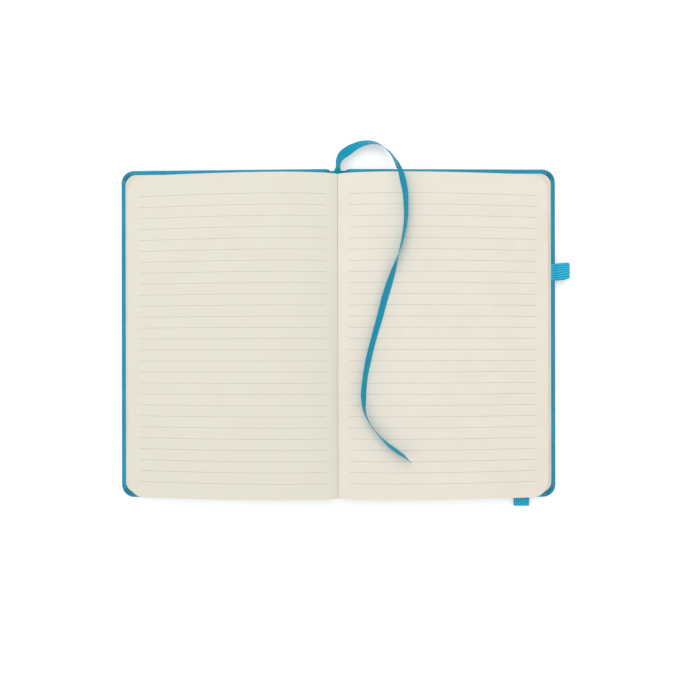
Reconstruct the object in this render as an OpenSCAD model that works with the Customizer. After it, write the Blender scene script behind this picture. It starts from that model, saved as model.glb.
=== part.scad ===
// Hard-cover notebook that lies open at its middle, with a ribbon marker, a pen loop and a
// closure elastic. +X runs to the back cover's fore-edge, +Y to the head of the book, +Z up.
// The origin is the middle of the spine panel's underside, which rests on the table.

/* [Cover] */
// Height of the cover from foot to head
cover_h = 210; // [190:1:230]
// Width of one cover panel from the joint to the fore-edge
panel_w = 132; // [120:1:145]
// Radius of the cover's two outer corners
cover_corner_r = 8; // [5:0.5:12]
// Thickness of the cover board
board_t = 1.8; // [1.5:0.1:2.2]
// Thickness of the covering material
wrap_t = 0.4; // [0.3:0.05:0.5]
// Width of the covering material that is turned in over the board
turn_in = 15; // [12:1:18]
// Thickness of the pasted endpaper
paper_t = 0.2; // [0.15:0.05:0.3]
// Rim of covering material that the endpaper leaves bare
rim_w = 3; // [2:0.5:4]
// Radius of the endpaper's outer corners
paper_corner_r = 7; // [3:0.5:9]

/* [Spine] */
// Width of the spine panel
spine_w = 12.5; // [12:0.5:13]
// Width of the stiff strip in the spine
strip_w = 10.5; // [9.5:0.5:11]
// Thickness of the stiff strip in the spine
strip_t = 1.6; // [1.2:0.1:1.8]
// Distance of a cover panel's inner edge from the book's middle
joint_x = 7.4; // [7.2:0.1:8]
// Height of the covers' underside at the joints
joint_rise = 4.2; // [4:0.1:4.6]

/* [Pages] */
// Thickness of each half of the page block where it lies flat
stack_t = 3.8; // [3:0.1:4.5]
// Height that the open pages arch above that
crown_h = 8.4; // [6:0.2:10]
// Distance of the arch's crest from the book's middle
crest_x = 39; // [34:1:45]
// Distance that the cover stands past the pages at the fore-edge
fore_square = 4.8; // [4:0.2:7]
// Distance that the cover stands past the pages at the head
head_square = 5; // [2:0.2:6]
// Distance that the cover stands past the pages at the foot
foot_square = 1.2; // [0.8:0.2:3]
// Radius of the pages' outer corners
page_corner_r = 11; // [4:0.5:12]
// Distance that the top page lies back from the bottom one at the fore-edge
fore_bevel = 1.2; // [0.4:0.2:2]
// Gap between the two halves of the block at the gutter
gutter_gap = 0.3; // [0.2:0.1:0.6]

/* [Pen loop] */
// Width of the pen loop's elastic
loop_w = 10.5; // [8:0.5:14]
// Thickness of the pen loop's elastic
loop_t = 0.7; // [0.5:0.1:0.8]
// Distance that the pen loop stands out from the cover
loop_reach = 9.4; // [9:0.2:14]
// Height of the pen loop across its opening
loop_h = 7; // [6.8:0.2:7]
// Distance of the pen loop's middle from the head of the cover
loop_from_head = 65.8; // [40:0.2:120]
// Length of the pen loop's tails inside the cover
loop_tail = 10; // [8:0.5:11]

/* [Closure elastic] */
// Width of the closure elastic
band_w = 10; // [7:0.5:12]
// Thickness of the closure elastic
band_t = 0.9; // [0.6:0.1:1]
// Distance of the closure elastic's middle from the fore-edge of the cover
band_inset = 21.2; // [20:0.5:30]
// Distance of the closure elastic's slots from the head and foot of the cover
slot_inset = 7; // [6:0.5:9]
// Distance that the slack of the elastic stands out past the foot
band_reach = 6.4; // [4:0.2:10]
// Length of the elastic's ends inside the cover
band_tail = 10; // [8:0.5:14]

/* [Ribbon marker] */
// Width of the ribbon
ribbon_w = 6; // [4:0.2:7]
// Thickness of the ribbon
ribbon_t = 0.3; // [0.2:0.05:0.35]

/* [Hidden] */
$fn = 64;

FRONT = -1;
BACK = 1;
// Clearance between a piece and the pocket that holds it
fit = 0.05;
// Extra length of a cutting solid past the face that it cuts
over = 1;

// Heights above a cover panel's underside
board_top = wrap_t + board_t;
turn_in_top = board_top + wrap_t;
pages_bottom = turn_in_top + paper_t;
board_w = panel_w - wrap_t - fit;
board_h = cover_h - 2 * (wrap_t + fit);
board_corner_r = cover_corner_r - wrap_t - fit;
window_w = panel_w - turn_in;
window_h = cover_h - 2 * turn_in;

// The slack of the closure elastic lies in two layers under the back cover and lifts it
fold_gap = 0.2;
floor_gap = 0.02;
band_u = panel_w - band_inset;
band_lift = 2 * band_t + fold_gap + floor_gap;
back_tilt = asin((joint_rise - band_lift) / (band_u + band_w / 2));
front_tilt = asin(joint_rise / panel_w);

// Page block, seen from the foot
page_edge_x = joint_x + panel_w - fore_square;
page_h = cover_h - head_square - foot_square;
page_y = (foot_square - head_square) / 2;
// The block's back hangs between the joints, just above the ribbon
back_clear = 0.15;
block_back_z = wrap_t + strip_t + wrap_t + ribbon_t + 2 * back_clear;
// Roundness of the block's back where it rises to the covers
back_shoulder = 2;
page_steps = 36;
// The pages' points lie closer together towards the gutter
gutter_crowding = 1.5;

cover_teal = [0.13, 0.62, 0.72];
paper_cream = [0.93, 0.91, 0.83];
board_grey = [0.55, 0.53, 0.48];
elastic_blue = [0.10, 0.66, 0.78];
ribbon_blue = [0.12, 0.58, 0.76];

// Height above the table of a plane that lies w above the underside of a cover, at distance x
function panel_z(tilt, x, w) = joint_rise + w / cos(tilt) - (x - joint_x) * tan(tilt);

// Share of the arch that is lost from its crest to the gutter, and in the last steep part of that
gutter_fall = 0.6;
gutter_plunge = 0.2;
gutter_steepness = 20;
function arch_at_gutter(s) = 1 - gutter_fall * pow(s, 2) - gutter_plunge * pow(s, gutter_steepness);
// Height of the top page above the underside of the pages at distance x from the book's middle
function page_rise(x) = stack_t + crown_h * (
    x > crest_x ? sin(90 * (page_edge_x - x) / (page_edge_x - crest_x)) : arch_at_gutter(1 - x / crest_x)
);

function bezier(a, b, c, d, t) =
    pow(1 - t, 3) * a + 3 * t * pow(1 - t, 2) * b + 3 * t * t * (1 - t) * c + pow(t, 3) * d;
function bezier_path(p, steps) = [for (i = [0:steps]) bezier(p[0], p[1], p[2], p[3], i / steps)];
function unit(v) = v / norm(v);
function along(path, i) = unit(path[min(i + 1, len(path) - 1)] - path[max(i - 1, 0)]);
function offset_path(path, d) = [
    for (i = [0:len(path) - 1])
        let(t = along(path, i)) path[i] + d * [-t[1], t[0]]
];
function reversed(list) = [for (i = [len(list) - 1:-1:0]) list[i]];
function arc(centre, r, from, to, steps) = [
    for (i = [0:steps])
        let(a = from + (to - from) * i / steps) centre + r * [cos(a), sin(a)]
];

// Strip of material along a flat path, from offset a to offset b on its left side
module strip(path, a, b) {
    polygon(concat(offset_path(path, a), reversed(offset_path(path, b))));
}

// Section in X and Z, drawn out along Y
module along_y(y0, y1) {
    translate([0, y1, 0])
        rotate([90, 0, 0])
            linear_extrude(y1 - y0)
                children();
}

// Places a piece that is drawn flat on a cover: X from the joint outwards, Z up from its underside
module on_panel(tilt) {
    translate([joint_x, 0, joint_rise])
        rotate([0, tilt, 0])
            children();
}

module on_cover(side) {
    if (side == FRONT)
        mirror([1, 0, 0])
            on_panel(front_tilt)
                children();
    else
        on_panel(back_tilt)
            children();
}

// Flat slab from the joint outwards, with its two outer corners rounded
module panel_slab(x0, x1, h, r, z0, z1) {
    translate([0, 0, z0])
        linear_extrude(z1 - z0) {
            translate([x0, -h / 2])
                square([x1 - x0 - r, h]);
            translate([x0, r - h / 2])
                square([x1 - x0, h - 2 * r]);
            for (s = [-1, 1])
                translate([x1 - r, s * (h / 2 - r)])
                    circle(r);
        }
}

module block(x0, x1, y0, y1, z0, z1) {
    translate([x0, y0, z0])
        cube([x1 - x0, y1 - y0, z1 - z0]);
}

// Spine

// Middle line of the covering material from the spine panel up to a cover panel: it bulges out
// past the spine panel and tucks in under the cover panel's edge
joint_lead = 0.65;
joint_bulge = 4.2;
joint_tuck = 5.2;
joint_start_x = spine_w / 2 - joint_lead;
joint_end_x = joint_x - fit;
joint_line = bezier_path([
    [joint_start_x, wrap_t / 2],
    [joint_start_x + joint_bulge, wrap_t / 2],
    [joint_end_x - joint_tuck, joint_rise + wrap_t / 2],
    [joint_end_x, joint_rise + wrap_t / 2]
], 16);
function mirrored(path) = [for (p = path) [-p[0], p[1]]];
wrap_line = concat(reversed(mirrored(joint_line)), joint_line);

module spine_wrap() {
    strip_top = wrap_t + strip_t;
    end_y = cover_h / 2;
    color(cover_teal) {
        along_y(-end_y, end_y)
            strip(wrap_line, -wrap_t / 2, wrap_t / 2);
        for (s = [0, 1])
            mirror([0, s, 0]) {
                block(-strip_w / 2, strip_w / 2, end_y - turn_in, end_y, strip_top, strip_top + wrap_t);
                block(-strip_w / 2, strip_w / 2, end_y - wrap_t, end_y, wrap_t / 2, strip_top + wrap_t / 2);
                along_y(end_y - turn_in, end_y)
                    for (t = [0, 1])
                        mirror([t, 0])
                            strip(joint_line, 0, wrap_t);
            }
    }
}

module spine_strip() {
    end_y = cover_h / 2 - wrap_t - fit;
    color(board_grey)
        block(-strip_w / 2, strip_w / 2, -end_y, end_y, wrap_t, wrap_t + strip_t);
}

module spine_lining() {
    end_y = cover_h / 2 - turn_in - fit;
    color(paper_cream)
        block(-strip_w / 2, strip_w / 2, -end_y, end_y, wrap_t + strip_t, wrap_t + strip_t + paper_t);
}

// Covers

// Pocket on the inner face of the back cover that takes the pen loop's tails
loop_y = cover_h / 2 - loop_from_head;
loop_mid_z = turn_in_top - loop_t;
module loop_pocket() {
    block(panel_w - loop_tail - fit, panel_w + over, loop_y - loop_w / 2 - fit, loop_y + loop_w / 2 + fit,
        turn_in_top - 2 * loop_t - fit, turn_in_top + over);
}

// Slots that let the closure elastic through the back cover, and the beds of its ends
slot_y = cover_h / 2 - slot_inset;
bed_z = board_top - band_t;
module band_cuts() {
    u0 = band_u - band_w / 2 - fit;
    u1 = band_u + band_w / 2 + fit;
    for (s = [0, 1])
        mirror([0, s, 0]) {
            block(u0, u1, slot_y - fit, slot_y + band_t + fit, -over, board_top);
            block(u0, u1, slot_y - band_tail - fit, slot_y + band_t + fit, bed_z - fit, board_top);
        }
}

module cover_wrap(side) {
    color(cover_teal)
        on_cover(side)
            difference() {
                panel_slab(0, panel_w, cover_h, cover_corner_r, 0, turn_in_top);
                panel_slab(-over, board_w + fit, board_h + 2 * fit, board_corner_r + fit, wrap_t, board_top);
                block(-over, window_w, -window_h / 2, window_h / 2, board_top - fit, turn_in_top + over);
                if (side == BACK) {
                    loop_pocket();
                    band_cuts();
                }
            }
}

module cover_board(side) {
    color(board_grey)
        on_cover(side)
            difference() {
                panel_slab(0, board_w, board_h, board_corner_r, wrap_t, board_top);
                if (side == BACK) {
                    loop_pocket();
                    band_cuts();
                }
            }
}

// The endpaper lies on the board inside the turned-in material and steps up over it
module pastedown(side) {
    edge_w = panel_w - rim_w;
    edge_h = cover_h - 2 * rim_w;
    color(paper_cream)
        on_cover(side) {
            block(0, window_w - fit, -window_h / 2 + fit, window_h / 2 - fit, board_top, board_top + paper_t);
            difference() {
                panel_slab(0, edge_w, edge_h, paper_corner_r, turn_in_top, pages_bottom);
                block(-over, window_w - paper_t - fit, paper_t + fit - window_h / 2,
                    window_h / 2 - paper_t - fit, board_top, pages_bottom + over);
            }
            difference() {
                block(0, window_w - fit, -window_h / 2 + fit, window_h / 2 - fit, board_top, pages_bottom);
                block(-over, window_w - paper_t - fit, paper_t + fit - window_h / 2,
                    window_h / 2 - paper_t - fit, board_top - over, pages_bottom + over);
            }
        }
}

// Pages

// Section of one half of the block, from the gutter over the arch to the fore-edge and back
function page_top(tilt) = [
    for (i = [0:page_steps])
        let(x = gutter_gap / 2
            + (page_edge_x - fore_bevel - gutter_gap / 2) * pow(i / page_steps, gutter_crowding))
            [x, panel_z(tilt, x, pages_bottom) + page_rise(x)]
];
function page_under(tilt) = bezier_path([
    [joint_x, panel_z(tilt, joint_x, pages_bottom)],
    [joint_x - back_shoulder, panel_z(tilt, joint_x, pages_bottom)],
    [joint_x - back_shoulder, block_back_z],
    [gutter_gap / 2, block_back_z]
], 10);
function page_section(tilt) = concat(
    page_top(tilt),
    [[page_edge_x, panel_z(tilt, page_edge_x, pages_bottom)]],
    page_under(tilt)
);

module half_block(tilt) {
    foot_y = page_y - page_h / 2;
    above_z = joint_rise + pages_bottom + stack_t + crown_h + over;
    color(paper_cream)
        intersection() {
            along_y(foot_y, foot_y + page_h)
                polygon(page_section(tilt));
            translate([0, page_y, 0])
                panel_slab(0, page_edge_x, page_h, page_corner_r, 0, above_z);
        }
}

module pages(side) {
    if (side == FRONT)
        mirror([1, 0, 0])
            half_block(front_tilt);
    else
        half_block(back_tilt);
}

// Elastics

// Oval loop past the fore-edge, whose two tails lie together in the cover's pocket
module pen_loop() {
    half_w = (loop_reach - fit) / 2;
    centre_u = panel_w + fit + half_w;
    module oval(inset) {
        polygon([
            for (a = [0:10:350])
                [centre_u + (half_w - inset) * cos(a), loop_mid_z + (loop_h / 2 - inset) * sin(a)]
        ]);
    }
    color(elastic_blue)
        on_cover(BACK)
            along_y(loop_y - loop_w / 2, loop_y + loop_w / 2)
                difference() {
                    union() {
                        oval(0);
                        translate([panel_w - loop_tail, loop_mid_z - loop_t])
                            square([loop_tail + loop_t, 2 * loop_t]);
                    }
                    oval(loop_t);
                }
}

// The band comes out of the foot slot, runs past the foot, folds back under itself and runs along
// the outside of the cover to the head slot
module closure_elastic() {
    half_t = band_t / 2;
    fold_y = -cover_h / 2 - band_reach + band_t + fold_gap / 2;
    fold_r = half_t + fold_gap / 2;
    low_z = -half_t - 2 * fold_r;
    bed = bed_z + half_t;
    outer_line = concat(
        [[-slot_y - half_t, -half_t]],
        arc([fold_y, -half_t - fold_r], fold_r, 90, 270, 10),
        [[-slot_y + 2 * band_w, low_z], [-slot_y + 4 * band_w, -half_t], [slot_y + half_t, -half_t]]
    );
    color(elastic_blue)
        on_cover(BACK)
            translate([band_u - band_w / 2, 0, 0])
                rotate([90, 0, 90])
                    linear_extrude(band_w) {
                        strip(outer_line, -half_t, half_t);
                        for (s = [0, 1])
                            mirror([s, 0]) {
                                translate([slot_y, -band_t])
                                    square([band_t, board_top + band_t]);
                                translate([slot_y - band_tail, bed_z])
                                    square([band_tail + band_t, band_t]);
                            }
                    }
}

// Ribbon marker

// Middle of the ribbon and the roll of its width, from the block's back over the head to the cut end
ribbon_route = [
    [0, 96, 2.6, 0], [0, 101, 2.6, 0], [0, 102.5, 4, -28], [0.1, 104.3, 5.4, -50],
    [0.4, 107.3, 6.1, -61], [1.2, 110.8, 5.7, -42], [3, 114, 5.2, -18], [6, 116.5, 4.8, -5],
    [10.5, 119.5, 4.5, -25], [15, 121.5, 4.3, -38], [20, 122.6, 3.8, -50], [25, 122.2, 3.6, -63],
    [29.3, 119.8, 4, -74], [32.3, 116.3, 5.8, -77], [34.6, 111.8, 10.2, -84], [36.1, 107.3, 14.8, -92],
    [36.9, 104.7, 18.4, -97], [37.7, 102.5, 21.3, -101], [38.9, 99.2, 22.1, -110], [40.4, 94, 21.7, -118],
    [41.8, 87, 21.5, -116], [42.3, 79, 21.6, -112], [42.1, 69, 21.7, -107], [40.6, 59.5, 21.8, -102],
    [38, 49.5, 21.9, -90], [35, 39.8, 21.6, -66], [31.8, 29.8, 21.2, -51], [28.8, 20, 21, -49],
    [26.2, 10, 20.9, -51], [23.3, 0, 20.8, -55], [19, -17, 20.4, -56], [16.8, -29, 20.3, -60],
    [16, -41, 20.2, -61], [16.8, -49, 20.7, -79], [20.2, -56.5, 21.1, -90], [25.5, -63.3, 21.5, -90],
    [31, -68.8, 21.7, -79], [37, -73.3, 21.7, -77], [41.7, -76.6, 21.7, -83], [45.4, -79.6, 21.7, -87]
];
function middle(i) = [ribbon_route[i][0], ribbon_route[i][1], ribbon_route[i][2]];
function heading(i) = unit(middle(min(i + 1, len(ribbon_route) - 1)) - middle(max(i - 1, 0)));
function level_side(t) = unit(cross([0, 0, 1], t));
function ribbon_ring(i) =
    let(
        t = heading(i),
        side = level_side(t),
        rise = cross(t, side),
        roll = ribbon_route[i][3],
        wide = cos(roll) * side + sin(roll) * rise,
        thin = cross(t, wide),
        w = ribbon_w / 2,
        h = ribbon_t / 2
    )
    [for (p = [[-w, -h / 2], [-w / 3, -h], [w / 3, -h], [w, -h / 2], [w, h / 2], [w / 3, h], [-w / 3, h],
        [-w, h / 2]]) middle(i) + p[0] * wide + p[1] * thin];

module ribbon_marker() {
    rings = len(ribbon_route);
    sides = 8;
    color(ribbon_blue)
        polyhedron(
            points = [for (i = [0:rings - 1]) each ribbon_ring(i)],
            faces = concat(
                [[for (j = [0:sides - 1]) j]],
                [[for (j = [sides - 1:-1:0]) (rings - 1) * sides + j]],
                // Each four-sided face is cut the same way above and below, so a twist keeps its thickness
                [for (i = [0:rings - 2], j = [0:sides - 1])
                    let(
                        a = i * sides + j,
                        b = i * sides + (j + 1) % sides,
                        c = a + sides,
                        d = b + sides
                    )
                        each j < sides / 2 ? [[a, c, b], [b, c, d]] : [[a, c, d], [a, d, b]]]
            )
        );
}

spine_strip();
spine_wrap();
spine_lining();
cover_board(FRONT);  // front_board
cover_wrap(FRONT);  // front_wrap
pastedown(FRONT);  // front_pastedown
pages(FRONT);  // front_pages
cover_board(BACK);  // back_board
cover_wrap(BACK);  // back_wrap
pastedown(BACK);  // back_pastedown
pages(BACK);  // back_pages
pen_loop();
closure_elastic();
ribbon_marker();
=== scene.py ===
import math
import bmesh
import bpy
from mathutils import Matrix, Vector, noise


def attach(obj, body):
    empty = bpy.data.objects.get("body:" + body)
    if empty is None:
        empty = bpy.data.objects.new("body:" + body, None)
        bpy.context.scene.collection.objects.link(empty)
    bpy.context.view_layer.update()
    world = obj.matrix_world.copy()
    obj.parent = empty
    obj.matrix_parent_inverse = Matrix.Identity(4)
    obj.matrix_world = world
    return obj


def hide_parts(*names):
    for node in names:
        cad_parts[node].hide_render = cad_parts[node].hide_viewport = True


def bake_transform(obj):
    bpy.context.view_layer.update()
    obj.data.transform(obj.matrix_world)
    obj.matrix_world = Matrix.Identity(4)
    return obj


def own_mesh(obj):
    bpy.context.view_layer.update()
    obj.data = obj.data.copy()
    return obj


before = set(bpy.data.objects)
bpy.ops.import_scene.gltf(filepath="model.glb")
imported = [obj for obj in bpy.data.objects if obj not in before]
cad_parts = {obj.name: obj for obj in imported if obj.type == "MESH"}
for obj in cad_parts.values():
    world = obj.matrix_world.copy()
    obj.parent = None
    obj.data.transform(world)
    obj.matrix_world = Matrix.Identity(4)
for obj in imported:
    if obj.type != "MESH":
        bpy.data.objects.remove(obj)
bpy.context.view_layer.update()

# Lengths are in millimetres and angles in degrees until a mesh is made
MM = 0.001
FRONT = -1
BACK = 1
SIDE_NAME = {FRONT: "front", BACK: "back"}

# Camera, straight above the open book
camera_x = 7.7
camera_y = -10.6
camera_height = 428
camera_lens = 34
camera_sensor = 36
camera_turn = -0.1

# Cover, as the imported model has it
cover_h = 210
panel_w = 132
cover_corner_r = 8
board_t = 1.8
wrap_t = 0.4
turn_in = 15
paper_t = 0.2
rim_w = 3
fit = 0.05
strip_w = 10.5
strip_t = 1.6
joint_x = 7.4
joint_rise = 4.2
joint_start_x = 5.6
joint_bulge = 4.2
joint_tuck = 5.2
board_top = wrap_t + board_t
turn_in_top = board_top + wrap_t
pages_bottom = turn_in_top + paper_t

# Pages
stack_t = 3.8
crown_h = 8.4
crest_x = 39
fore_square = 4.8
head_square = 5
foot_square = 1.2
page_corner_r = 11
fore_bevel = 1.2
gutter_gap = 0.1
page_edge_x = joint_x + panel_w - fore_square
page_h = cover_h - head_square - foot_square
page_y = (foot_square - head_square) / 2
block_back_z = 3.0
back_shoulder = 2
gutter_fall = 0.6
gutter_plunge = 0.2
gutter_steepness = 20
leaf_stagger = 0.09
cockle_depth = 0.16

# Ruled lines on the pages
line_pitch = 6.95
first_line_y = 86.9
line_count = 27
line_start_x = 7.2
line_end_x = 126
line_half_width = 0.15
line_blur = 0.03

# Pen loop
loop_w = 10.5
loop_t = 0.7
loop_reach = 9.4
loop_h = 7
loop_y = 39.2
loop_tail = 10
loop_mid_w = turn_in_top - loop_t
loop_lean = 0.7

# Closure elastic
band_w = 10
band_t = 0.9
band_u = 110.8
slot_y = 98
band_reach = 6.4
band_tail = 10
fold_gap = 0.2
floor_gap = 0.02
rib_count = 7

# Ribbon marker
ribbon_w = 6
ribbon_t = 0.24
ribbon_cut = 5
ribbon_columns = 12
ribbon_ridge = 0.05
ribbon_ridge_from = 0.9

band_lift = 2 * band_t + fold_gap + floor_gap
TILT = {
    FRONT: math.asin(joint_rise / panel_w),
    BACK: math.asin((joint_rise - band_lift) / (band_u + band_w / 2)),
}


# Shape helpers

def between(a, b, share):
    return a + (b - a) * share


def ease(low, high, value):
    """0 below low, 1 above high and a smooth rise between them."""
    t = min(max((value - low) / (high - low), 0), 1)
    return t * t * (3 - 2 * t)


def on_cover(side, u, y, w):
    """Point u out from a cover's inner edge and w above its underside."""
    a = TILT[side]
    x = joint_x + u * math.cos(a) + w * math.sin(a)
    z = joint_rise - u * math.sin(a) + w * math.cos(a)
    return Vector((side * x, y, z))


def plane_z(side, x, w):
    """Height of the plane that lies w above a cover's underside, x from the book's middle."""
    return joint_rise + w / math.cos(TILT[side]) - (x - joint_x) * math.tan(TILT[side])


def bezier(points, t):
    a, b, c, d = (Vector(p) for p in points)
    return (1 - t) ** 3 * a + 3 * t * (1 - t) ** 2 * b + 3 * t * t * (1 - t) * c + t ** 3 * d


def smooth_path(points, steps):
    """Curve through the points, with steps pieces between each two of them."""
    points = [Vector(p) for p in points]
    gaps = [(b - a).to_3d().length for a, b in zip(points, points[1:])]
    runs = [(b - a) / gap for a, b, gap in zip(points, points[1:], gaps)]
    slopes = [runs[0]]
    for i in range(1, len(points) - 1):
        slopes.append((runs[i - 1] * gaps[i] + runs[i] * gaps[i - 1]) / (gaps[i - 1] + gaps[i]))
    slopes.append(runs[-1])
    path = []
    for i, gap in enumerate(gaps):
        for k in range(steps):
            t = k / steps
            place = (2 * t ** 3 - 3 * t * t + 1) * points[i]
            place += (t ** 3 - 2 * t * t + t) * gap * slopes[i]
            place += (3 * t * t - 2 * t ** 3) * points[i + 1]
            place += (t ** 3 - t * t) * gap * slopes[i + 1]
            path.append(place)
    path.append(points[-1])
    return path


def running_length(path):
    lengths = [0]
    for a, b in zip(path, path[1:]):
        lengths.append(lengths[-1] + (b - a).length)
    return lengths


def make_piece(name, points, faces, materials, sharp=40, face_material=None, values=None, uvs=None):
    """Closed, smooth-shaded mesh object. values holds a number for each point by attribute name."""
    mesh = bpy.data.meshes.new(name)
    mesh.from_pydata([Vector(p) * MM for p in points], [], faces)
    for material in materials:
        mesh.materials.append(material)
    for key, numbers in (values or {}).items():
        mesh.attributes.new(key, "FLOAT", "POINT").data.foreach_set("value", numbers)
    if face_material:
        mesh.polygons.foreach_set("material_index", face_material)
    if uvs:
        layer = mesh.uv_layers.new(name="UVMap")
        for loop in mesh.loops:
            layer.data[loop.index].uv = uvs[loop.vertex_index]
    work = bmesh.new()
    work.from_mesh(mesh)
    bmesh.ops.remove_doubles(work, verts=work.verts, dist=1e-7)
    bmesh.ops.dissolve_degenerate(work, edges=work.edges, dist=1e-8)
    bmesh.ops.recalc_face_normals(work, faces=work.faces)
    work.to_mesh(mesh)
    work.free()
    mesh.shade_smooth()
    mesh.set_sharp_from_angle(angle=math.radians(sharp))
    piece = bpy.data.objects.new(name, mesh)
    bpy.context.scene.collection.objects.link(piece)
    return piece


def strip_mesh(rings):
    """Points, faces and UVs of a closed strip. A ring holds (upper, lower, uv) across the width."""
    across = len(rings[0])
    around = 2 * across
    last = (len(rings) - 1) * around
    points = []
    uvs = []
    faces = []
    for ring in rings:
        points += [r[0] for r in ring] + [r[1] for r in reversed(ring)]
        uvs += [r[2] for r in ring] + [r[2] for r in reversed(ring)]
    for a in range(0, last, around):
        b = a + around
        for j in range(around):
            k = (j + 1) % around
            faces.append((a + j, a + k, b + k, b + j))
    for a in (0, last):
        for j in range(across - 1):
            faces.append((a + j, a + j + 1, a + around - 2 - j, a + around - 1 - j))
    return points, faces, uvs


# Camera

def make_camera():
    data = bpy.data.cameras.new("camera")
    data.lens = camera_lens
    data.sensor_width = camera_sensor
    data.clip_start = 0.01
    camera = bpy.data.objects.new("camera", data)
    camera.location = Vector((camera_x, camera_y, camera_height)) * MM
    camera.rotation_euler = (0, 0, math.radians(camera_turn))
    bpy.context.scene.collection.objects.link(camera)
    bpy.context.scene.camera = camera


# Material helpers

def srgb(red, green, blue):
    """Colour written as 0 to 255 on a screen, as the numbers that a shader takes."""
    shares = [c / 255 for c in (red, green, blue)]
    linear = [c / 12.92 if c <= 0.04045 else ((c + 0.055) / 1.055) ** 2.4 for c in shares]
    return (*linear, 1)


def new_material(name):
    material = bpy.data.materials.new(name)
    material.use_nodes = True
    tree = material.node_tree
    return material, tree, tree.nodes["Principled BSDF"]


def add(tree, kind, sockets=None, **settings):
    node = tree.nodes.new(kind)
    for key, value in settings.items():
        setattr(node, key, value)
    for key, value in (sockets or {}).items():
        if isinstance(value, bpy.types.NodeSocket):
            tree.links.new(value, node.inputs[key])
        else:
            node.inputs[key].default_value = value
    return node


def calculate(tree, operation, *terms):
    return add(tree, "ShaderNodeMath", dict(enumerate(terms)), operation=operation).outputs[0]


def rise(tree, value, low, high, to_low=0, to_high=1):
    """value's place between low and high, smoothly, as a number from to_low to to_high."""
    sockets = {"Value": value, "From Min": low, "From Max": high, "To Min": to_low, "To Max": to_high}
    return add(tree, "ShaderNodeMapRange", sockets, interpolation_type="SMOOTHSTEP").outputs[0]


def blend_colours(tree, share, a, b, how="MIX"):
    node = add(tree, "ShaderNodeMix", {0: share, 6: a, 7: b}, data_type="RGBA", blend_type=how)
    return node.outputs[2]


def object_place(tree):
    return add(tree, "ShaderNodeTexCoord").outputs["Object"]


def plane_place(tree, x, y):
    return add(tree, "ShaderNodeCombineXYZ", {0: x, 1: y}).outputs[0]


def grain(tree, place, scale, detail=4, roughness=0.55):
    sockets = {"Vector": place, "Scale": scale, "Detail": detail, "Roughness": roughness}
    return add(tree, "ShaderNodeTexNoise", sockets).outputs["Fac"]


def attribute(tree, name):
    return add(tree, "ShaderNodeAttribute", attribute_name=name).outputs["Fac"]


def relief(tree, shader, height, distance, strength=1.0, below=None):
    """Bump of up to distance metres on the shader, over the bump that is already below it."""
    sockets = {"Height": height, "Distance": distance, "Strength": strength}
    if below:
        sockets["Normal"] = below
    bump = add(tree, "ShaderNodeBump", sockets).outputs["Normal"]
    tree.links.new(bump, shader.inputs["Normal"])
    return bump


# Materials

def ruled_paper():
    """Cream writing paper with fine grey lines, which stop short of the fore-edge and the gutter."""
    material, tree, shader = new_material("ruled_paper")
    place = object_place(tree)
    axes = add(tree, "ShaderNodeSeparateXYZ", {0: place}).outputs
    row = calculate(tree, "MULTIPLY_ADD", axes["Y"], -1 / (line_pitch * MM), first_line_y / line_pitch)
    nearest = calculate(tree, "ROUND", row)
    off_row = calculate(tree, "ABSOLUTE", calculate(tree, "SUBTRACT", row, nearest))
    off_line = calculate(tree, "MULTIPLY", off_row, line_pitch)
    ink = rise(tree, off_line, line_half_width - line_blur, line_half_width + line_blur, 1, 0)
    out = calculate(tree, "ABSOLUTE", axes["X"])
    limits = [
        calculate(tree, "GREATER_THAN", nearest, -0.5),
        calculate(tree, "LESS_THAN", nearest, line_count - 0.5),
        calculate(tree, "GREATER_THAN", out, line_start_x * MM),
        calculate(tree, "LESS_THAN", out, line_end_x * MM),
    ]
    for limit in limits:
        ink = calculate(tree, "MULTIPLY", ink, limit)
    ink_flow = rise(tree, grain(tree, place, 900), 0.25, 0.65, 0.6, 1)
    ink = calculate(tree, "MULTIPLY", ink, ink_flow)
    # Painted light: the right page is painted a little lighter and warmer than the left, for light that
    # falls differently on the two halves.
    right_page_light = calculate(tree, "GREATER_THAN", axes["X"], 0)
    paper = blend_colours(tree, right_page_light, srgb(233, 229, 214), srgb(239, 232, 219))
    clouds = rise(tree, grain(tree, place, 60, 3), 0.3, 0.7, 0.0, 0.25)
    paper = blend_colours(tree, clouds, paper, srgb(228, 222, 204))
    fibres = rise(tree, grain(tree, place, 2600, 6, 0.7), 0.35, 0.75, 0.0, 0.12)
    paper = blend_colours(tree, fibres, paper, srgb(212, 202, 178))
    colour = blend_colours(tree, ink, paper, srgb(198, 192, 177))
    tree.links.new(colour, shader.inputs["Base Color"])
    shader.inputs["Roughness"].default_value = 0.82
    shader.inputs["Specular IOR Level"].default_value = 0.25
    fine = relief(tree, shader, grain(tree, place, 3200, 5, 0.7), 0.00002, 0.5)
    relief(tree, shader, grain(tree, place, 420, 3), 0.00005, 0.35, fine)
    return material


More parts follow.
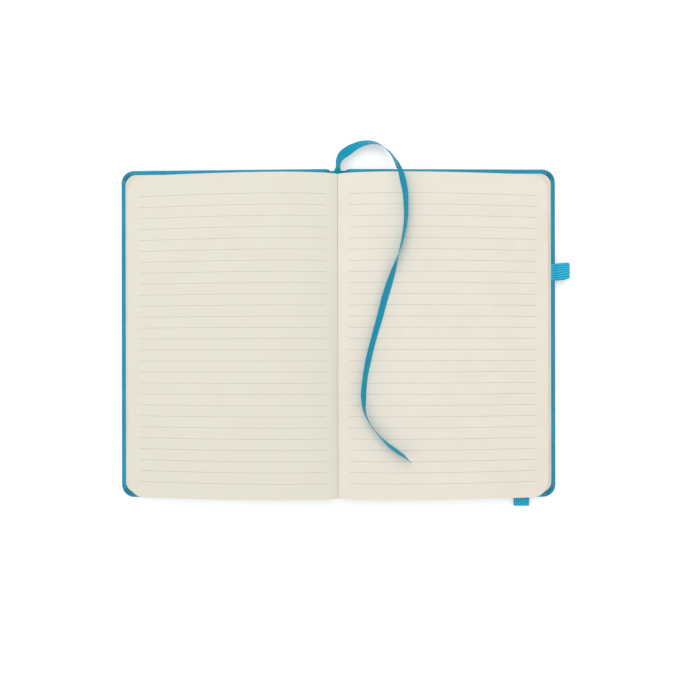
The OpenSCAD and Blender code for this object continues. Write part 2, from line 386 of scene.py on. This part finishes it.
def leaf_edges():
    """Cut edges of the leaves: fine lines that follow each leaf along the block."""
    material, tree, shader = new_material("leaf_edges")
    place = object_place(tree)
    axes = add(tree, "ShaderNodeSeparateXYZ", {0: place}).outputs
    along = calculate(tree, "MULTIPLY", calculate(tree, "ADD", axes["X"], axes["Y"]), 14)
    leaf = attribute(tree, "leaf")
    streak = plane_place(tree, along, calculate(tree, "MULTIPLY", leaf, 46))
    lines = grain(tree, streak, 1, 3, 0.6)
    broad = plane_place(tree, along, calculate(tree, "MULTIPLY", leaf, 11))
    bundles = grain(tree, broad, 1, 2)
    colour = blend_colours(tree, rise(tree, lines, 0.42, 0.62), srgb(250, 246, 236), srgb(234, 227, 212))
    colour = blend_colours(tree, rise(tree, bundles, 0.45, 0.7, 0, 0.3), colour, srgb(224, 216, 200))
    tree.links.new(colour, shader.inputs["Base Color"])
    shader.inputs["Roughness"].default_value = 0.9
    shader.inputs["Specular IOR Level"].default_value = 0.2
    relief(tree, shader, lines, 0.00006, 0.7)
    return material


def pasted_paper():
    """Plain endpaper, a little heavier and more fibrous than the pages."""
    material, tree, shader = new_material("pasted_paper")
    place = object_place(tree)
    clouds = rise(tree, grain(tree, place, 45, 4), 0.3, 0.7)
    colour = blend_colours(tree, clouds, srgb(232, 225, 207), srgb(225, 217, 197))
    specks = rise(tree, grain(tree, place, 1800, 5, 0.7), 0.55, 0.8, 0, 0.3)
    colour = blend_colours(tree, specks, colour, srgb(204, 194, 170))
    tree.links.new(colour, shader.inputs["Base Color"])
    shader.inputs["Roughness"].default_value = 0.85
    shader.inputs["Specular IOR Level"].default_value = 0.25
    relief(tree, shader, grain(tree, place, 1400, 5, 0.65), 0.00004, 0.5)
    return material


def grey_board():
    """Pressed grey board with flecks of pulp."""
    material, tree, shader = new_material("grey_board")
    place = object_place(tree)
    pulp = grain(tree, place, 700, 6, 0.7)
    colour = blend_colours(tree, rise(tree, pulp, 0.3, 0.7), srgb(172, 165, 150), srgb(146, 139, 125))
    fleck = rise(tree, grain(tree, place, 2400, 2), 0.66, 0.74)
    colour = blend_colours(tree, fleck, colour, srgb(96, 88, 78))
    tree.links.new(colour, shader.inputs["Base Color"])
    shader.inputs["Roughness"].default_value = 0.92
    relief(tree, shader, pulp, 0.0001, 0.6)
    return material


def grained_leather():
    """Soft fine-grained covering, paler on its outer edges for rubbed wear and a painted sheen, with
    painted shade darkening its pleats.
    """
    material, tree, shader = new_material("grained_leather")
    place = object_place(tree)
    cloud = rise(tree, grain(tree, place, 28, 4), 0.3, 0.7)
    colour = blend_colours(tree, cloud, srgb(22, 142, 174), srgb(36, 154, 186))
    cells = add(tree, "ShaderNodeTexVoronoi", {"Vector": place, "Scale": 1150},
                feature="SMOOTH_F1").outputs["Distance"]
    pores = grain(tree, place, 2600, 4, 0.6)
    hollow = rise(tree, cells, 0.35, 0.75, 0, 0.4)
    colour = blend_colours(tree, hollow, colour, srgb(14, 112, 144))
    # Outer edges paler: rubbed wear together with a painted sheen along the rim.
    rub_and_sheen = rise(tree, attribute(tree, "tone"), 0, 1, 0, 0.25)
    colour = blend_colours(tree, rub_and_sheen, colour, srgb(96, 184, 206))
    # Painted shade: the pleats round the corners are darkened where shade gathers in the folds.
    pleat_shade = rise(tree, attribute(tree, "tone"), 0, -1, 0, 0.75)
    colour = blend_colours(tree, pleat_shade, colour, srgb(10, 88, 112))
    tree.links.new(colour, shader.inputs["Base Color"])
    tree.links.new(rise(tree, pores, 0.3, 0.7, 0.46, 0.62), shader.inputs["Roughness"])
    shader.inputs["Specular IOR Level"].default_value = 0.26
    fine = relief(tree, shader, pores, 0.00003, 0.6)
    relief(tree, shader, calculate(tree, "MULTIPLY", cells, -1), 0.00012, 0.55, fine)
    return material


def woven_elastic():
    """Ribbed elastic: lengthwise ribs with cross threads, and painted shade darkening the grooves between
    the ribs.
    """
    material, tree, shader = new_material("woven_elastic")
    uv = add(tree, "ShaderNodeTexCoord").outputs["UV"]
    axes = add(tree, "ShaderNodeSeparateXYZ", {0: uv}).outputs
    across = calculate(tree, "MULTIPLY", axes["X"], 2 * math.pi * rib_count)
    along = calculate(tree, "MULTIPLY", axes["Y"], 2 * math.pi / 0.62)
    shifted = calculate(tree, "MULTIPLY_ADD", across, 0.5, along)
    thread = calculate(tree, "SINE", shifted)
    ridge = calculate(tree, "COSINE", across)
    # Painted shade: the colour darkens from the ribs' crests into the grooves between them.
    rib_groove_shade = rise(tree, ridge, 0, 1, 0, 0.85)
    colour = blend_colours(tree, rib_groove_shade, srgb(48, 198, 236), srgb(0, 118, 158))
    weave = rise(tree, thread, -0.2, 0.9, 0, 0.35)
    colour = blend_colours(tree, weave, colour, srgb(10, 152, 192))
    fuzz = rise(tree, grain(tree, object_place(tree), 1500, 4, 0.7), 0.4, 0.8, 0, 0.3)
    colour = blend_colours(tree, fuzz, colour, srgb(84, 198, 228))
    tree.links.new(colour, shader.inputs["Base Color"])
    shader.inputs["Roughness"].default_value = 0.72
    shader.inputs["Specular IOR Level"].default_value = 0.18
    shader.inputs["Sheen Weight"].default_value = 0.08
    relief(tree, shader, thread, 0.00007, 0.8)
    return material


def ribbon_satin():
    """Satin: fine lengthwise threads with a soft gloss."""
    material, tree, shader = new_material("ribbon_satin")
    uv = add(tree, "ShaderNodeTexCoord").outputs["UV"]
    axes = add(tree, "ShaderNodeSeparateXYZ", {0: uv}).outputs
    threads = calculate(tree, "SINE", calculate(tree, "MULTIPLY", axes["X"], 2 * math.pi * 24))
    streak = plane_place(tree, calculate(tree, "MULTIPLY", axes["X"], 16),
                         calculate(tree, "MULTIPLY", axes["Y"], 0.05))
    sheen = grain(tree, streak, 1, 3)
    colour = blend_colours(tree, rise(tree, sheen, 0.3, 0.7), srgb(0, 148, 178), srgb(10, 164, 196))
    colour = blend_colours(tree, rise(tree, threads, -1, 1, 0, 0.25), colour, srgb(4, 118, 156))
    tree.links.new(colour, shader.inputs["Base Color"])
    shader.inputs["Roughness"].default_value = 0.42
    shader.inputs["Anisotropic"].default_value = 0.5
    shader.inputs["Specular IOR Level"].default_value = 0.12
    relief(tree, shader, threads, 0.00003, 0.5)
    return material


# Ribbon marker

# Middle of the ribbon and the roll of its width, from the block's back over the head to the cut end
ribbon_route = [
    (0, 96, 2.6, 0), (0, 101, 2.6, 0), (0, 102.5, 4, -28), (0.1, 104.3, 5.4, -50),
    (0.4, 107.3, 6.1, -61), (1.2, 110.8, 5.7, -42), (3, 114, 5.2, -18), (6, 116.5, 4.8, -5),
    (10.5, 119.5, 4.5, -25), (15, 121.5, 4.3, -38), (20, 122.6, 3.8, -50), (25, 122.2, 3.6, -63),
    (29.3, 119.8, 4, -74), (32.3, 116.3, 5.8, -77), (34.6, 111.8, 10.2, -84), (36.1, 107.3, 14.8, -92),
    (36.9, 104.7, 18.4, -97), (37.7, 102.5, 21.3, -101), (38.9, 99.2, 22.1, -110), (40.4, 94, 21.7, -118),
    (41.8, 87, 21.5, -116), (42.3, 79, 21.6, -112), (42.1, 69, 21.7, -107), (40.6, 59.5, 21.8, -102),
    (38, 49.5, 21.9, -90), (35, 39.8, 21.6, -66), (31.8, 29.8, 21.2, -51), (28.8, 20, 21, -49),
    (26.2, 10, 20.9, -51), (23.3, 0, 20.8, -55), (19, -17, 20.4, -56), (16.8, -29, 20.3, -60),
    (16, -41, 20.2, -61), (16.8, -49, 20.7, -79), (20.2, -56.5, 21.1, -90), (25.5, -63.3, 21.5, -90),
    (31, -68.8, 21.7, -79), (37, -73.3, 21.7, -77), (41.7, -76.6, 21.7, -83), (45.4, -79.6, 21.7, -87),
]


def ribbon_frames():
    """Middle line of the ribbon with its width and thickness directions at each point."""
    line = smooth_path(ribbon_route, 8)
    middles = [p.to_3d() for p in line]
    frames = []
    for i, p in enumerate(line):
        ahead = middles[min(i + 1, len(line) - 1)] - middles[max(i - 1, 0)]
        ahead.normalize()
        level = Vector((0, 0, 1)).cross(ahead).normalized()
        up = ahead.cross(level)
        roll = math.radians(p[3])
        wide = math.cos(roll) * level + math.sin(roll) * up
        frames.append((middles[i], wide, ahead.cross(wide)))
    return frames


def make_ribbon(material):
    frames = ribbon_frames()
    lengths = running_length([f[0] for f in frames])
    total = lengths[-1]
    rings = []
    for along in lengths:
        ring = []
        for j in range(ribbon_columns + 1):
            c = 2 * j / ribbon_columns - 1
            reach = along * (1 - ribbon_cut / total * (1 + c) / 2)
            k = min(max(sum(1 for s in lengths if s <= reach) - 1, 0), len(frames) - 2)
            share = (reach - lengths[k]) / (lengths[k + 1] - lengths[k])
            middle, wide, thin = (between(frames[k][n], frames[k + 1][n], share) for n in range(3))
            half = ribbon_t / 2 + (ribbon_ridge if abs(c) > ribbon_ridge_from else 0)
            place = middle + wide * (c * ribbon_w / 2)
            uv = (j / ribbon_columns, along / ribbon_w)
            ring.append((place + thin * half, place - thin * half, uv))
        rings.append(ring)
    points, faces, uvs = strip_mesh(rings)
    piece = make_piece("ribbon", points, faces, [material], 60, uvs=uvs)
    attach(piece, "back_cover")
    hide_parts("ribbon_marker")
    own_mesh(piece)


# Pages

def page_rise(x):
    """Height of the top page above the underside of the pages."""
    if x > crest_x:
        share = math.sin(math.radians(90 * (page_edge_x - x) / (page_edge_x - crest_x)))
    else:
        s = 1 - x / crest_x
        share = 1 - gutter_fall * s ** 2 - gutter_plunge * s ** gutter_steepness
    return stack_t + crown_h * share


page_steps = 64
corner_steps = 14
page_rows = 48
back_rows = 8
back_steps = 16
corner_x = page_edge_x - page_corner_r


def page_columns(inset):
    """Each column's distance from the book's middle and half its length along the book."""
    columns = []
    for i in range(page_steps + 1):
        x = between(gutter_gap / 2, corner_x, (i / page_steps) ** 1.5)
        columns.append((x, page_h / 2))
    for i in range(1, corner_steps + 1):
        a = math.radians(90 * i / corner_steps)
        x = corner_x + (page_corner_r - inset) * math.sin(a)
        columns.append((x, page_h / 2 - page_corner_r * (1 - math.cos(a))))
    return columns


def leaf_shift(level, along):
    """How far a leaf's edge stands out past the block's mean edge."""
    return leaf_stagger * noise.noise(Vector((level * 7.31, along * 0.018, 2.4)))


def layered_block(columns_at, z_at, levels, first_level, rows, cockle=None):
    """Block of leaves. columns_at and z_at give a column's place at a share of the block's height."""
    points = []
    leaf = []
    index = {}
    side_sign = {0: -1, rows: 1}
    last = len(columns_at(0)) - 1
    for j in range(levels + 1):
        share = j / levels
        level = first_level + j
        for i, (x, half) in enumerate(columns_at(share)):
            for r in range(rows + 1):
                if j not in (0, levels) and i not in (0, last) and r not in (0, rows):
                    continue
                y = page_y + half * (2 * r / rows - 1) + side_sign.get(r, 0) * leaf_shift(level, x)
                out = x + (leaf_shift(level, y) if i == last else 0)
                z = z_at(i, x, share)
                if cockle and j == levels:
                    z += cockle(i / last, r / rows, x, y)
                index[i, r, j] = len(points)
                points.append((out, y, z))
                leaf.append(level)
    faces = []
    kinds = []

    def quad(kind, *corners):
        faces.append([index[c] for c in corners])
        kinds.append(kind)

    for i in range(last):
        for r in range(rows):
            quad(0, (i, r, levels), (i + 1, r, levels), (i + 1, r + 1, levels), (i, r + 1, levels))
            quad(1, (i, r, 0), (i, r + 1, 0), (i + 1, r + 1, 0), (i + 1, r, 0))
    for j in range(levels):
        for r in (0, rows):
            for i in range(last):
                quad(1, (i, r, j), (i + 1, r, j), (i + 1, r, j + 1), (i, r, j + 1))
        for i in (0, last):
            for r in range(rows):
                quad(1, (i, r, j), (i, r + 1, j), (i, r + 1, j + 1), (i, r, j + 1))
    return points, faces, kinds, leaf


stack_levels = 12
arch_levels = 14
back_levels = 8


def finish_block(side, name, block, materials):
    points, faces, kinds, leaf = block
    points = [(side * x, y, z) for x, y, z in points]
    total = stack_levels + arch_levels
    values = {"leaf": [level / total for level in leaf]}
    piece = make_piece(name, points, faces, materials, 35, kinds, values)
    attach(piece, SIDE_NAME[side] + "_cover")
    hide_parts(SIDE_NAME[side] + "_pages")
    return piece


def make_pages(side, paper, edges):
    """Half of the block: the flat stack, the arch above it, and the back."""
    name = SIDE_NAME[side]

    def stack_columns(share):
        return page_columns(fore_bevel * share)

    def arch_columns(share):
        return page_columns(fore_bevel)

    def stack_z(i, x, share):
        return plane_z(side, x, pages_bottom) + stack_t * share

    def arch_z(i, x, share):
        return plane_z(side, x, pages_bottom) + between(stack_t, page_rise(x), share)

    def cockle(i, r, x, y):
        fade = min(1, 8 * i * (1 - i)) * min(1, 12 * r * (1 - r))
        return cockle_depth * fade * noise.noise(Vector((x * 0.022 * side, y * 0.016, 7.1)))

    under = [
        (gutter_gap / 2, block_back_z),
        (joint_x - back_shoulder, block_back_z),
        (joint_x - back_shoulder, plane_z(side, joint_x, pages_bottom)),
        (joint_x, plane_z(side, joint_x, pages_bottom)),
    ]
    back_line = [bezier(under, k / back_steps) for k in range(back_steps + 1)]

    def back_columns(share):
        return [(p[0], page_h / 2) for p in back_line]

    def back_z(i, x, share):
        return between(back_line[i][1], plane_z(side, x, pages_bottom), share)

    stack_block = layered_block(stack_columns, stack_z, stack_levels, 0, page_rows)
    arch_block = layered_block(arch_columns, arch_z, arch_levels, stack_levels, page_rows, cockle)
    back_block = layered_block(back_columns, back_z, back_levels, -back_levels, back_rows)
    finish_block(side, name + "_page_stack", stack_block, [edges, edges])
    arch = finish_block(side, name + "_page_arch", arch_block, [paper, edges])
    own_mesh(arch)
    back = finish_block(side, name + "_page_back", back_block, [edges, edges])
    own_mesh(back)


# Covers

spine_stations = (0, 1.2, 2.4, 3.6, 4.6, 5.0, 5.3)
joint_steps = 24
joint_layer_gap = 0.02
joint_turn_in_t = 0.3
cover_stations = (0.4, 1.2, 2.5, 5, 9, 15, 25, 40, 55, 70, 85, 98, 108)
corner_lead_steps = 4
inner_ring = 6
skin_rings = (1.5, 2.2, rim_w + 0.3, 5)
edge_wobble = 0.06
# Lightening of the outer edge for rubbed wear and a painted sheen
rub_and_sheen_tone = 0.9
# Darkening of the corner pleats with painted shade
pleat_shade_tone = 1.4


def spine_and_joint():
    """Middle line of the covering from the book's middle to the cover's edge, as (x, z) points."""
    half_t = wrap_t / 2
    flat = [(x, half_t) for x in spine_stations]
    curve = [
        (joint_start_x, half_t),
        (joint_start_x + joint_bulge, half_t),
        (joint_x - joint_tuck, joint_rise + half_t),
        (joint_x, joint_rise + half_t),
    ]
    return [Vector(p) for p in flat] + [bezier(curve, k / joint_steps) for k in range(joint_steps + 1)]


joint_line = spine_and_joint()
joint_lengths = running_length(joint_line)
joint_length = joint_lengths[-1]


def on_wrap(side, s, y, h):
    """Point at length s along the covering from the book's middle, h above its middle line."""
    if s >= joint_length:
        return on_cover(side, s - joint_length, y, wrap_t / 2 + h)
    k = max(i for i, length in enumerate(joint_lengths) if length <= s + 1e-6)
    k = min(k, len(joint_line) - 2)
    ahead = joint_line[min(k + 1, len(joint_line) - 1)] - joint_line[max(k - 1, 0)]
    if k == 0:
        ahead = Vector((1, 0))
    ahead.normalize()
    step = joint_lengths[k + 1] - joint_lengths[k]
    place = between(joint_line[k], joint_line[k + 1], (s - joint_lengths[k]) / step)
    return Vector((side * (place[0] - ahead[1] * h), y, place[1] + ahead[0] * h))


def turn_in_gap(s):
    """Height of the turned-in material's underside above the covering's middle line."""
    over_strip = strip_t + wrap_t / 2
    in_joint = wrap_t / 2 + joint_layer_gap
    over_board = board_t + wrap_t / 2
    if s < joint_length / 2:
        return between(over_strip, in_joint, ease(strip_w / 2, strip_w / 2 + 0.7, s))
    return between(in_joint, over_board, ease(joint_length - 0.7, joint_length - 0.1, s))


def wrap_height(w, s):
    """Turns a height above a cover's underside into one above the covering's middle line at s."""
    half_t = wrap_t / 2
    gap = turn_in_gap(s)
    top = gap + (wrap_t if s < joint_length / 2 or s > joint_length - 0.3 else joint_turn_in_t)
    if w <= wrap_t:
        return w - half_t
    if w <= board_top:
        return between(half_t, gap, (w - wrap_t) / board_t)
    return between(gap, top, (w - board_top) / wrap_t)


edge_round = 0.9
edge_steps = 4
arc_steps = 24
pleat_angles = (12, 28, 43, 58, 76)
pleat_depth = 0.5
pleat_width = 3.4
pocket_floor = turn_in_top - 2 * loop_t - fit


def cover_rings():
    """Section of the folded edge from the outer skin to the inner one, as (inset, height) pairs."""
    rings = [(turn_in, 0), (inner_ring, 0), (2, 0)]
    for i in range(edge_steps + 1):
        a = math.radians(90 * i / edge_steps)
        rings.append((edge_round * (1 - math.sin(a)), edge_round * (1 - math.cos(a))))
    for i in range(edge_steps + 1):
        a = math.radians(90 * i / edge_steps)
        rings.append((edge_round * (1 - math.cos(a)), turn_in_top - edge_round * (1 - math.sin(a))))
    rings += [(inset, turn_in_top) for inset in (*skin_rings, loop_tail, turn_in)]
    inner = wrap_t + fit
    rings += [(inset, board_top) for inset in (turn_in, inner_ring, inner)]
    return rings + [(inset, wrap_t) for inset in (inner, inner_ring, turn_in)]


def half_outline(inset):
    """Foot edge and foot corner of the covering at an inset, as (length, y, corner angle)."""
    r = max(cover_corner_r - inset, 0.5)
    corner_u = panel_w - inset - r
    corner_y = inset + r - cover_h / 2
    edge_y = inset - cover_h / 2
    lengths = list(joint_lengths)
    lengths += [joint_length + u for u in cover_stations]
    last = lengths[-1]
    steps = range(1, corner_lead_steps + 1)
    lengths += [between(last, joint_length + corner_u, k / corner_lead_steps) for k in steps]
    outline = [(s, edge_y, None) for s in lengths]
    for k in range(1, arc_steps + 1):
        angle = 90 * k / arc_steps
        a = math.radians(angle)
        outline.append((joint_length + corner_u + r * math.sin(a), corner_y - r * math.cos(a), angle))
    return outline


def fore_edge_rows():
    """Places along the fore-edge, with the sides of the pen loop's pocket among them."""
    rows = [-84, -70, -56, -42, -28, -14, 0, 14, 26]
    pocket = loop_w / 2 + fit
    rows += [loop_y - pocket - 0.3, loop_y - pocket, loop_y, loop_y + pocket, loop_y + pocket + 0.3]
    return rows + [54, 64, 74, 84]


def pleat(angle):
    """Depth of the small folds that gather the covering round a corner, from 0 to 1."""
    if angle is None:
        return 0
    return max(math.exp(-((angle - a) / pleat_width) ** 2) for a in pleat_angles)


def make_cover(side, material):
    """One sheet of covering from the spine's middle round the board's edges, turned in on three sides."""
    rings = cover_rings()
    points = []
    tone = []
    for inset, w in rings:
        foot = half_outline(inset)
        head = [(s, -y, None if a is None else 90 - a) for s, y, a in reversed(foot)]
        fore_s = joint_length + panel_w - inset
        fore = [(fore_s, y, None) for y in fore_edge_rows()]
        on_edge = inset < edge_round + 0.01
        for s, y, angle in foot + fore + head:
            height = w
            depth = pleat(angle) if w > board_top - edge_round and inset < inner_ring else 0
            height -= depth * pleat_depth * (1 if inset > 0.3 else 0.4)
            in_pocket = abs(y - loop_y) < loop_w / 2 + 0.2 and s > joint_length + panel_w - loop_tail - 1
            if side == BACK and in_pocket and w > wrap_t:
                height = between(wrap_t, pocket_floor, (w - wrap_t) / (turn_in_top - wrap_t))
            wobble = 0
            if on_edge:
                wobble = edge_wobble * noise.noise(Vector((s * 0.09, y * 0.09, side * 3.3)))
            points.append(on_wrap(side, s, y * (1 - wobble / (cover_h / 2)), wrap_height(height, s)))
            # The outer edge wall is lightened for rubbed wear and a painted sheen
            rub_and_sheen = rub_and_sheen_tone if on_edge and 0.2 < w < 2.5 else 0
            # Painted shade darkens the corner pleats
            tone.append(max(-1, min(1, rub_and_sheen - pleat_shade_tone * depth)))
    count = len(points) // len(rings)
    half = len(half_outline(0))
    faces = []
    for r in range(len(rings) - 1):
        for k in range(count - 1):
            a = r * count + k
            faces.append((a, a + 1, a + count + 1, a + count))
    for start in (0, (len(rings) - 1) * count):
        for k in range(half - 1):
            faces.append((start + k, start + k + 1, start + count - 2 - k, start + count - 1 - k))
        faces.append([start + k for k in range(half - 1, count - half + 1)])
    foot_end = [r * count for r in range(len(rings))]
    head_end = [r * count + count - 1 for r in reversed(range(len(rings)))]
    faces.append(foot_end + head_end)
    name = SIDE_NAME[side]
    piece = make_piece(name + "_cover_leather", points, faces, [material], 40, values={"tone": tone})
    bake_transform(piece)
    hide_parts(name + "_wrap", "spine_wrap")


# Elastics

rib_height = 0.14
rib_samples = 8
rib_floor = 0.12
loop_pinch = 164
loop_turn_step = 8
loop_taper = 2.5
slot_bend = 0.9
slot_bend_cut = 0.25


def ribbed_strip(name, line, across, width_at, shift_at, thickness, material):
    """Strip along a line, its width along across, with lengthwise ribs on both faces."""
    across = across.normalized()
    lengths = running_length(line)
    columns = rib_count * rib_samples
    rings = []
    for i, place in enumerate(line):
        ahead = (line[min(i + 1, len(line) - 1)] - line[max(i - 1, 0)]).normalized()
        face = ahead.cross(across)
        ring = []
        for j in range(columns + 1):
            c = 2 * j / columns - 1
            rib = rib_height * (abs(math.sin(math.pi * rib_count * j / columns)) ** 0.7 - 1)
            half = max(thickness / 2 + rib, rib_floor)
            middle = place + across * (c * width_at(i) / 2 + shift_at(i))
            ring.append((middle + face * half, middle - face * half, (j / columns, lengths[i])))
        rings.append(ring)
    points, faces, uvs = strip_mesh(rings)
    piece = make_piece(name, points, faces, [material], 50, uvs=uvs)
    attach(piece, "back_cover")
    return piece


def make_pen_loop(material):
    """Elastic loop past the fore-edge, both tails together in the cover's pocket."""
    half_u = (loop_reach - fit) / 2
    middle_u = panel_w + fit + half_u
    a = half_u - loop_t / 2
    b = loop_h / 2 - loop_t / 2
    tail_h = loop_t / 2
    turn = []
    for degrees in range(loop_pinch, -loop_pinch - 1, -loop_turn_step):
        d = math.radians(degrees)
        turn.append((middle_u + a * math.cos(d), loop_mid_w + b * math.sin(d)))
    start_u = panel_w - loop_tail
    tail = [start_u, start_u + 3, start_u + 6, start_u + 8, panel_w - 1, panel_w - 0.2]
    line = [(u, loop_mid_w + tail_h) for u in tail] + turn
    line += [(u, loop_mid_w - tail_h) for u in reversed(tail)]
    points = [on_cover(BACK, u, loop_y, w) for u, w in line]

    def lean(i):
        return loop_lean * ease(panel_w, panel_w + loop_reach, line[i][0])

    def width(i):
        tip = panel_w + loop_reach
        return loop_w * (1 - 0.1 * ease(tip - loop_taper, tip, line[i][0]))

    piece = ribbed_strip("pen_loop_elastic", points, Vector((0, 1, 0)), width, lean, loop_t, material)
    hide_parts("pen_loop")


def make_closure(material):
    """Closure elastic: slack past the foot, folded under itself, then along the back of the cover."""
    half_t = band_t / 2
    fold_y = -cover_h / 2 - band_reach + band_t + fold_gap / 2
    fold_r = half_t + fold_gap / 2
    bed = board_top - half_t
    slot_middle = slot_y + half_t
    low = -half_t - 2 * fold_r

    def end(sign):
        return [(sign * (slot_y - band_tail + 0.3), bed), (sign * (slot_y - 5), bed),
                (sign * (slot_middle - slot_bend), bed),
                (sign * (slot_middle - slot_bend_cut), bed - slot_bend_cut),
                (sign * slot_middle, bed - slot_bend), (sign * slot_middle, 0.35)]

    fold = []
    for degrees in range(90, 271, 15):
        d = math.radians(degrees)
        fold.append((fold_y + fold_r * math.cos(d), -half_t - fold_r + fold_r * math.sin(d)))
    line = end(-1) + [(-slot_middle - slot_bend_cut, -half_t + slot_bend_cut)]
    line += [(-slot_middle - slot_bend, -half_t)]
    line += [(between(-slot_middle - 1, fold_y, k / 6), -half_t) for k in range(1, 6)] + fold
    line += [(between(fold_y, -slot_y + 2 * band_w, k / 6), low) for k in range(1, 7)]
    for k in range(1, 9):
        y = between(-slot_y + 2 * band_w, -slot_y + 4 * band_w, k / 8)
        line.append((y, between(low, -half_t, ease(0, 1, k / 8))))
    line += [(y, -half_t) for y in range(-50, 96, 8)]
    line += [(slot_middle - slot_bend, -half_t), (slot_middle - slot_bend_cut, -half_t + slot_bend_cut)]
    line += reversed(end(1))
    points = [on_cover(BACK, band_u, y, w) for y, w in line]
    across = on_cover(BACK, 1, 0, 0) - on_cover(BACK, 0, 0, 0)

    def width(i):
        return band_w * (1 - 0.05 * ease(-108, -111, line[i][0]))

    piece = ribbed_strip("closure_band", points, across, width, lambda i: 0, band_t, material)
    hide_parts("closure_elastic")


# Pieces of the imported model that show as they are

def dress(node, material):
    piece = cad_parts[node]
    for place in piece.material_slots:
        place.material = material


# Floor and light, in metres

floor_reach = 2.5
floor_grey = 0.86
floor_lift = 0.34
world_light = 0.8
world_lift = 0.2
lamp_size = 1.1
lamp_energy = 5.5
lamp_place = (-0.25, 0.7, 1.2)


def seen_directly(tree):
    """1 where the camera looks, straight, in a mirror or through glass, and 0 for other light."""
    path = add(tree, "ShaderNodeLightPath").outputs
    seen = calculate(tree, "MAXIMUM", path["Is Camera Ray"], path["Is Glossy Ray"])
    return calculate(tree, "MAXIMUM", seen, path["Is Transmission Ray"])


def make_floor():
    r = floor_reach
    mesh = bpy.data.meshes.new("floor")
    mesh.from_pydata([(-r, -r, 0), (r, -r, 0), (r, r, 0), (-r, r, 0)], [], [(0, 1, 2, 3)])
    floor = bpy.data.objects.new("floor", mesh)
    bpy.context.scene.collection.objects.link(floor)
    material, tree, shader = new_material("white_floor")
    shader.inputs["Base Color"].default_value = (floor_grey, floor_grey, floor_grey, 1)
    shader.inputs["Roughness"].default_value = 0.9
    shader.inputs["Specular IOR Level"].default_value = 0
    # What looks straight at the floor sees it lifted to white, and its shadows stay
    lift = calculate(tree, "MULTIPLY", seen_directly(tree), floor_lift)
    tree.links.new(lift, shader.inputs["Emission Strength"])
    shader.inputs["Emission Color"].default_value = (1, 1, 1, 1)
    mesh.materials.append(material)


def make_lights():
    world = bpy.data.worlds.new("soft_light")
    bpy.context.scene.world = world
    world.use_nodes = True
    tree = world.node_tree
    background = tree.nodes["Background"]
    background.inputs["Color"].default_value = (1, 1, 1, 1)
    strength = calculate(tree, "MULTIPLY_ADD", seen_directly(tree), world_lift, world_light)
    tree.links.new(strength, background.inputs["Strength"])
    lamp = bpy.data.lights.new("window_light", "AREA")
    lamp.shape = "RECTANGLE"
    lamp.size = lamp_size
    lamp.size_y = lamp_size
    lamp.energy = lamp_energy
    light = bpy.data.objects.new("window_light", lamp)
    light.location = lamp_place
    light.rotation_euler = (-light.location).to_track_quat("-Z", "Y").to_euler()
    bpy.context.scene.collection.objects.link(light)
    bpy.context.scene.view_settings.view_transform = "Standard"


make_camera()
make_ribbon(ribbon_satin())
page_paper = ruled_paper()
page_edges = leaf_edges()
leather = grained_leather()
elastic = woven_elastic()
endpaper = pasted_paper()
board = grey_board()
for side in (FRONT, BACK):
    make_pages(side, page_paper, page_edges)
    make_cover(side, leather)
    dress(SIDE_NAME[side] + "_board", board)
    dress(SIDE_NAME[side] + "_pastedown", endpaper)
dress("spine_strip", board)
dress("spine_lining", endpaper)
make_pen_loop(elastic)
make_closure(elastic)
make_floor()
make_lights()
